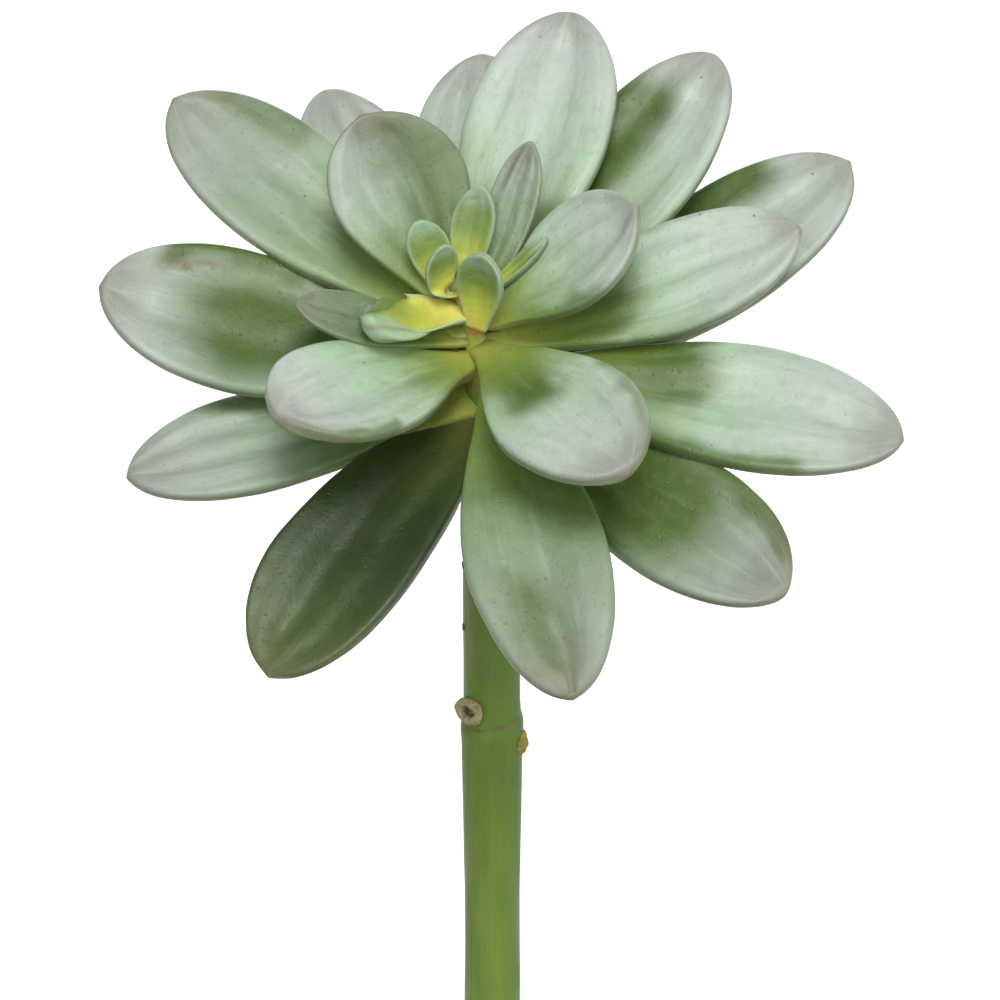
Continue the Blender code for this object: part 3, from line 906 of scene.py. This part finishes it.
def dress_stem():
    """The hollow leaf scar on the stem's left, the dormant bud on its right, small old nicks."""
    _, radii, scar_height, bud_height = stem_measures
    up = Vector((0, 0, 1))
    radius = float(np.median(radii))
    cork = scar_material("scar_cork", (0.36, 0.32, 0.18), (0.17, 0.14, 0.06))
    # The scar core's near-black colour is painted shade in the scar's hollow.
    hollow = scar_material("scar_hollow_shade", (0.16, 0.13, 0.06), (0.05, 0.04, 0.018))
    husk = scar_material("bud_husk", (0.34, 0.28, 0.05), (0.17, 0.12, 0.03))
    nick = scar_material("old_nick", (0.10, 0.08, 0.04), (0.03, 0.022, 0.015))

    centre = up * (scar_height + SCAR_RISE) + SCAR_FACING * (radius + SCAR_OUT)
    roll = ring_tube("scar_ring", centre, SCAR_FACING, 2.7 * MM, 1.9 * MM, 0.95 * MM, 3.0)
    new_piece("scar_ring", roll, cork)
    across = SCAR_FACING.cross(up).normalized()
    upright = across.cross(SCAR_FACING)
    core = blob("scar_core", centre - SCAR_FACING * SCAR_DEPTH,
                (upright * 2.4 * MM, across * 3.4 * MM, SCAR_FACING * 1.5 * MM), 5.0, 0.25)
    new_piece("scar_core", core, hollow)

    seat = up * (bud_height - BUD_DROP) + BUD_FACING * (radius + BUD_OUT)
    bud = blob("side_bud", seat, (Vector((0.12, 0, 1)) * 2.7 * MM, BUD_FACING * 1.5 * MM,
                                  BUD_FACING.cross(up) * 2.0 * MM), 8.0, 0.25)
    new_piece("side_bud", bud, husk)

    for number, rise in enumerate(NICK_RISES, start=1):
        spot = up * (scar_height + rise) + NICK_FACING * (radius + 0.02 * MM)
        axes = (up * 0.9 * MM, NICK_FACING * 0.4 * MM, NICK_FACING.cross(up) * 0.7 * MM)
        fleck = blob(f"old_nick_{number}", spot, axes, number * 4.0, 0.5, 10, 14)
        new_piece(f"old_nick_{number}", fleck, nick)


# ---------------- pot and soil

POT_SIDES = 160
POT_STEP = 1.1 * MM
POT_WOBBLE = 0.12 * MM
WHEEL_LINES = 0.05 * MM
LEVEL = 0.01 * MM              # heights closer than this are the same
RIM_DEPTH = 2 * MM             # the rim's inner corners lie within this of its top
SOIL_SIDES = 140
SOIL_RINGS = 60
SOIL_ROUGHNESS = ((0.9 * MM, 7 * MM), (0.55 * MM, 2.4 * MM), (0.25 * MM, 1.0 * MM))  # rise, size
SOIL_SINK = 0.4 * MM
SOIL_UNDER_STEM = 1.0 * MM     # how far the soil reaches in under the stem's skin


def turned_rows(node):
    """Corners of a turned solid's half section, as (radius, height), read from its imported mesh."""
    points = np.array([vert.co[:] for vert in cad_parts[node].data.vertices])
    radius = np.linalg.norm(points[:, :2], axis=1)
    corners = {(round(r / MM, 2), round(z / MM, 2)) for r, z in zip(radius, points[:, 2])}
    return sorted((r * MM, z * MM) for r, z in corners)


def make_pot(material):
    """Turn the pot again, finer, with the faint lines of the wheel."""
    corners = turned_rows("pot")
    height = max(z for r, z in corners)
    floor_in, floor = min(corners)
    rim_middle = sum(r for r, z in corners if z > height - LEVEL) / 2
    inner = [(r, z) for r, z in corners
             if r < rim_middle and (z > height - RIM_DEPTH or (r, z) == (floor_in, floor))]
    outer = [corner for corner in corners if corner not in inner]
    outline = [(0.0, 0.0)] + sorted(outer, key=lambda corner: (corner[1], corner[0]))
    outline += sorted(inner, key=lambda corner: (-corner[1], -corner[0])) + [(0.0, floor)]
    fine = []
    for (r0, z0), (r1, z1) in zip(outline, outline[1:]):
        parts = max(1, int(math.hypot(r1 - r0, z1 - z0) / POT_STEP))
        fine += [(r0 + (r1 - r0) * i / parts, z0 + (z1 - z0) * i / parts) for i in range(parts)]
    fine = fine[1:]
    rings, heights = [], []
    for radius, z in fine:
        ring = []
        loose = smooth(0.05 * MM, 1.5 * MM, z)
        for turn in turns(POT_SIDES):
            out = Vector((math.cos(turn), math.sin(turn), 0))
            wobble = POT_WOBBLE * noise.noise(Vector((out.x, out.y, z / (6 * MM))))
            wheel = WHEEL_LINES * math.sin(z / (0.75 * MM) + 2 * out.x)
            ring.append(out * (radius + (wobble + wheel) * loose) + Vector((0, 0, z)))
            heights.append(z / height)
        rings.append(ring)
    heights += [0.0, floor / height]
    mesh = skin("pot_shell", rings, (Vector((0, 0, 0)), Vector((0, 0, floor))), {"height": heights})
    piece = new_piece("pot_shell", mesh, material)
    mesh.set_sharp_from_angle(angle=math.radians(50))
    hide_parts("pot")


def soil_height(x, y, edge, low, high, stem_radius):
    """Height of the crumbly soil at a place."""
    radius = math.hypot(x, y)
    heap = low + (high - low) * (1 - smooth(stem_radius, edge, radius))
    rough = sum(rise * noise.noise(Vector((x, y, 0)) / size) for rise, size in SOIL_ROUGHNESS)
    return heap + rough * smooth(edge, edge * 0.94, radius) - SOIL_SINK


def make_soil(material):
    """The soil's bed: its flat bottom edge, then rings in from the pot's wall to the stem."""
    corners = turned_rows("soil")
    bottom = min(z for r, z in corners)
    edge = max(r for r, z in corners)
    low = max(z for r, z in corners if r > edge - 0.1 * MM)
    high = max(z for r, z in corners)
    foot = max(r for r, z in corners if z < bottom + LEVEL)
    stem_radius = min(r for r, z in corners if z > high - LEVEL)
    rings = [[Vector((math.cos(turn) * foot, math.sin(turn) * foot, bottom))
              for turn in turns(SOIL_SIDES)]]
    for i in range(SOIL_RINGS):
        share = i / SOIL_RINGS
        radius = edge * (1 - share) + (stem_radius - SOIL_UNDER_STEM) * share
        ring = []
        for turn in turns(SOIL_SIDES):
            x, y = math.cos(turn) * radius, math.sin(turn) * radius
            ring.append(Vector((x, y, soil_height(x, y, edge, low, high, stem_radius))))
        rings.append(ring)
    top = Vector((0, 0, high - 1.5 * MM))
    mesh = skin("soil_bed", rings, (Vector((0, 0, bottom)), top))
    piece = new_piece("soil_bed", mesh, material)
    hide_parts("soil")
    return edge, low, high, stem_radius


def scatter_grit(name, count, size_low, size_high, seed, material, ground):
    """Rough grains pressed into the soil, joined in one piece."""
    edge, low, high, stem_radius = ground
    chance = random.Random(seed)
    grain = bmesh.new()
    bmesh.ops.create_icosphere(grain, subdivisions=2, radius=1.0)
    grain.verts.index_update()
    base = [vert.co.copy() for vert in grain.verts]
    shape = [[vert.index for vert in face.verts] for face in grain.faces]
    grain.free()
    points, faces = [], []
    for number in range(count):
        size = chance.uniform(size_low, size_high)
        reach = math.sqrt(chance.uniform(((stem_radius + size) / edge) ** 2, 1)) * (edge - 1.3 * size)
        turn = chance.uniform(0, math.tau)
        x, y = math.cos(turn) * reach, math.sin(turn) * reach
        z = soil_height(x, y, edge, low, high, stem_radius) + size * chance.uniform(-0.1, 0.35)
        squash = Vector([chance.uniform(*span) for span in ((0.7, 1.2), (0.7, 1.2), (0.5, 0.85))])
        spin = chance.uniform(0, math.tau)
        start = len(points)
        for co in base:
            bump = 1 + 0.38 * noise.noise(co * 1.6 + Vector((number * 3.7, 0, 0)))
            p = Vector((co.x * squash.x, co.y * squash.y, co.z * squash.z)) * (bump * size)
            points.append((x + p.x * math.cos(spin) - p.y * math.sin(spin),
                           y + p.x * math.sin(spin) + p.y * math.cos(spin), z + p.z))
        faces += [[start + index for index in face] for face in shape]
    new_piece(name, shaped(name, points, faces), material)


# ---------------- studio

FLOOR_REACH = 4.0
AIR_BELOW = 0.20               # brightness of the air under the horizon
AIR_ABOVE = 0.46               # and above it
AIR_FADE = -0.15               # where it's darkest, as the height of a direction


def sky():
    """Even studio air, bright above the horizon and dim below it."""
    world = bpy.data.worlds.new("studio_air")
    world.use_nodes = True
    tree = world.node_tree
    split = tree.nodes.new("ShaderNodeSeparateXYZ")
    fade = tree.nodes.new("ShaderNodeMapRange")
    for socket, number in zip(list(fade.inputs)[1:5], (AIR_FADE, 0.0, AIR_BELOW, AIR_ABOVE)):
        socket.default_value = number
    tree.links.new(tree.nodes.new("ShaderNodeTexCoord").outputs["Generated"], split.inputs[0])
    tree.links.new(split.outputs["Z"], fade.inputs[0])
    tree.links.new(fade.outputs[0], tree.nodes["Background"].inputs["Strength"])
    tree.nodes["Background"].inputs["Color"].default_value = (1, 1, 1, 1)
    bpy.context.scene.world = world


def lamp(name, towards, strength, spread, colour=(1, 1, 1)):
    """A broad distant light. towards points from the object to it."""
    light = bpy.data.lights.new(name, "SUN")
    light.energy = strength
    light.angle = math.radians(spread)
    light.color = colour
    placed(name, light, Vector(towards))


def make_studio():
    """White paper floor that doesn't light the object, four soft distant lamps and the air."""
    paper = Skin("studio_paper")
    tone = paper.clouds(0.4, 2.0)
    paper.colour = paper.ramp(tone, (0.3, (0.86, 0.86, 0.855)), (0.7, (0.88, 0.88, 0.875)))
    square = ((-1, -1), (1, -1), (1, 1), (-1, 1))
    corners = [(x * FLOOR_REACH, y * FLOOR_REACH, 0) for x, y in square]
    mesh = shaped("studio_floor", corners, [(0, 1, 2, 3)])
    mesh.materials.append(paper.finish(0.9))
    ground = placed("studio_floor", mesh)
    ground.visible_diffuse = False
    lamp("key", (0.04, -0.50, 0.86), 2.6, 28, (1.0, 0.99, 0.965))
    lamp("front", (-0.15, -0.92, 0.36), 1.5, 40)
    lamp("fill", (0.92, -0.30, 0.30), 1.2, 40, (0.99, 1.0, 0.98))
    lamp("back", (0.10, 0.92, 0.36), 1.2, 40)
    sky()
    bpy.context.scene.view_settings.view_transform = "Standard"


def make_camera(aim):
    """A camera in front of the object, raised and tilted down to the aim point."""
    data = bpy.data.cameras.new("camera")
    data.lens = LENS
    data.sensor_width = SENSOR
    data.clip_end = 20
    back = Vector((0, -math.cos(ELEVATION), math.sin(ELEVATION)))
    camera = placed("camera", data, back)
    camera.location = aim + back * CAMERA_DISTANCE
    bpy.context.scene.camera = camera


# ---------------- the object

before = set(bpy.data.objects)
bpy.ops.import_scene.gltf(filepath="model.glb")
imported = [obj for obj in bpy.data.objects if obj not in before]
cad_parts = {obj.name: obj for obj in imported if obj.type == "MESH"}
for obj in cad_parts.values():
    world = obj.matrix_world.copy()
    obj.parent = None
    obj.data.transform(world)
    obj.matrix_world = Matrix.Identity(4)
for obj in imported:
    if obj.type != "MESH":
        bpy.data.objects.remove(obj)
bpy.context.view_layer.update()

stem_measures = stem_rows()
grow_stem(stem_material())
dress_stem()

leaf_root = Vector(stem_measures[0][ROOT_ROW])
leaf_wax = leaf_material()
leaf_nodes = sorted(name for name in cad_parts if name.startswith("leaf_"))
shade_caster_tree = painted_shade_casters()
painted_shade_directions = painted_shade_rays()
for number, leaf_node in enumerate(leaf_nodes, start=1):
    grow_leaf(number, leaf_node, leaf_wax)

make_pot(clay_material())
ground_rows = make_soil(soil_material())
scatter_grit("soil_crumbs", 900, 0.7 * MM, 1.7 * MM, 5,
             grit_material("crumb", (0.025, 0.017, 0.011), (0.085, 0.058, 0.037)), ground_rows)
scatter_grit("soil_pumice", 110, 0.9 * MM, 2.2 * MM, 6,
             grit_material("pumice", (0.24, 0.20, 0.15), (0.46, 0.42, 0.36)), ground_rows)

aim_point = Vector((AIM_ASIDE, 0, AIM_ABOVE_FOOT))
make_studio()
make_camera(aim_point)
